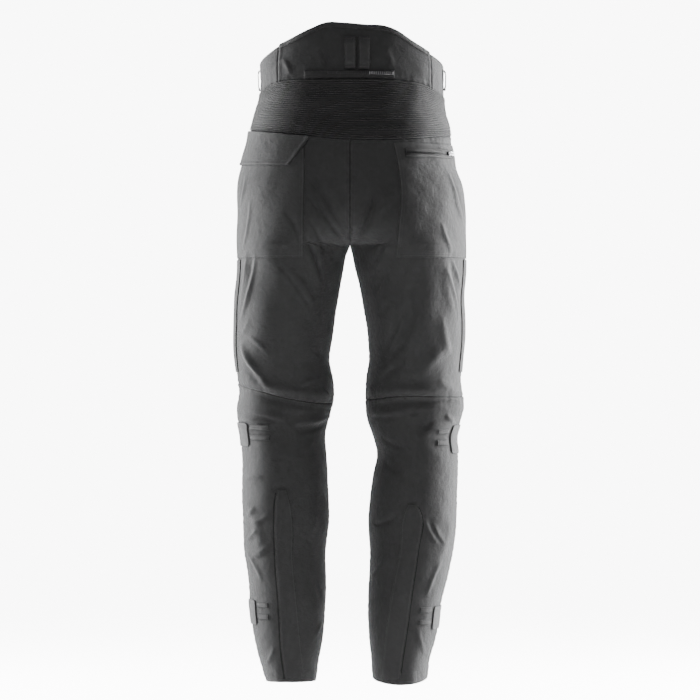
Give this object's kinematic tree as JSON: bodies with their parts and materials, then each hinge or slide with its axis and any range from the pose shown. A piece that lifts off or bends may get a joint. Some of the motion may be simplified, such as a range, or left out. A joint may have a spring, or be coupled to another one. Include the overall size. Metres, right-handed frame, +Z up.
{
  "type": "motorcycle trousers",
  "caption": "Motorcycle trousers in their worn hollow shape: ribbed stretch panel across the back, raised kidney panel, cargo pockets, hook tabs at knee and hem.",
  "frame": {"origin": "middle of the waist line, where the wearer's waist holds the trousers up", "axes": "+Z up, the front of the trousers faces -Y, +X to the wearer's left"},
  "size_m": [0.4203, 0.2604, 1.1729],
  "materials": {
    "shell_cloth": "black woven shell cloth, matt with a soft sheen at the sides",
    "rib_cloth": "black ribbed stretch cloth",
    "kidney_cloth": "black soft-faced cloth with a bound edge",
    "pocket_cloth": "black woven cloth",
    "webbing": "black woven tape",
    "tab_fabric": "dark grey hook tab",
    "zip_tape": "black zip tape",
    "zip_metal": "dark nickel zip hardware"
  },
  "bodies": {
    "garment": {"front_left": "shell_cloth", "front_right": "shell_cloth", "back_left": "shell_cloth", "back_right": "shell_cloth", "calf_left": "shell_cloth", "calf_right": "shell_cloth", "waistband_front_left": "shell_cloth", "waistband_front_right": "shell_cloth", "waist_side_left": "shell_cloth", "waist_side_right": "shell_cloth", "rib_panel": "rib_cloth", "kidney_panel": "kidney_cloth", "pocket_left": "pocket_cloth", "pocket_flap": "pocket_cloth", "pocket_right": "pocket_cloth", "pocket_zip_tape": "zip_tape", "pocket_slider": "zip_metal", "connection_zip": "zip_tape", "belt_loop_back_left": "webbing", "belt_loop_back_right": "webbing", "belt_loop_side_left": "webbing", "belt_loop_side_right": "webbing", "thigh_placket_left": "shell_cloth", "thigh_placket_right": "shell_cloth", "calf_placket_left": "shell_cloth", "calf_placket_right": "shell_cloth", "knee_tab_left": "tab_fabric", "knee_tab_right": "tab_fabric", "knee_band_left_upper": "webbing", "knee_band_left_lower": "webbing", "knee_band_right_upper": "webbing", "knee_band_right_lower": "webbing", "hem_tab_left": "tab_fabric", "hem_tab_right": "tab_fabric", "hem_band_left_upper": "webbing", "hem_band_left_lower": "webbing", "hem_band_right_upper": "webbing", "hem_band_right_lower": "webbing", "fly_placket": "shell_cloth", "waist_snap": "zip_metal"},
    "pull_tab": {"pocket_pull": "zip_metal"}
  },
  "joints": [
    {"name": "pull_tab_hinge", "type": "hinge", "parent": "garment", "child": "pull_tab", "pos_m": [-0.18007, 0.05408, -0.11746], "axis": [-0.1646, 0.1015, -0.9811], "range_deg": [0, 160]}
  ]
}
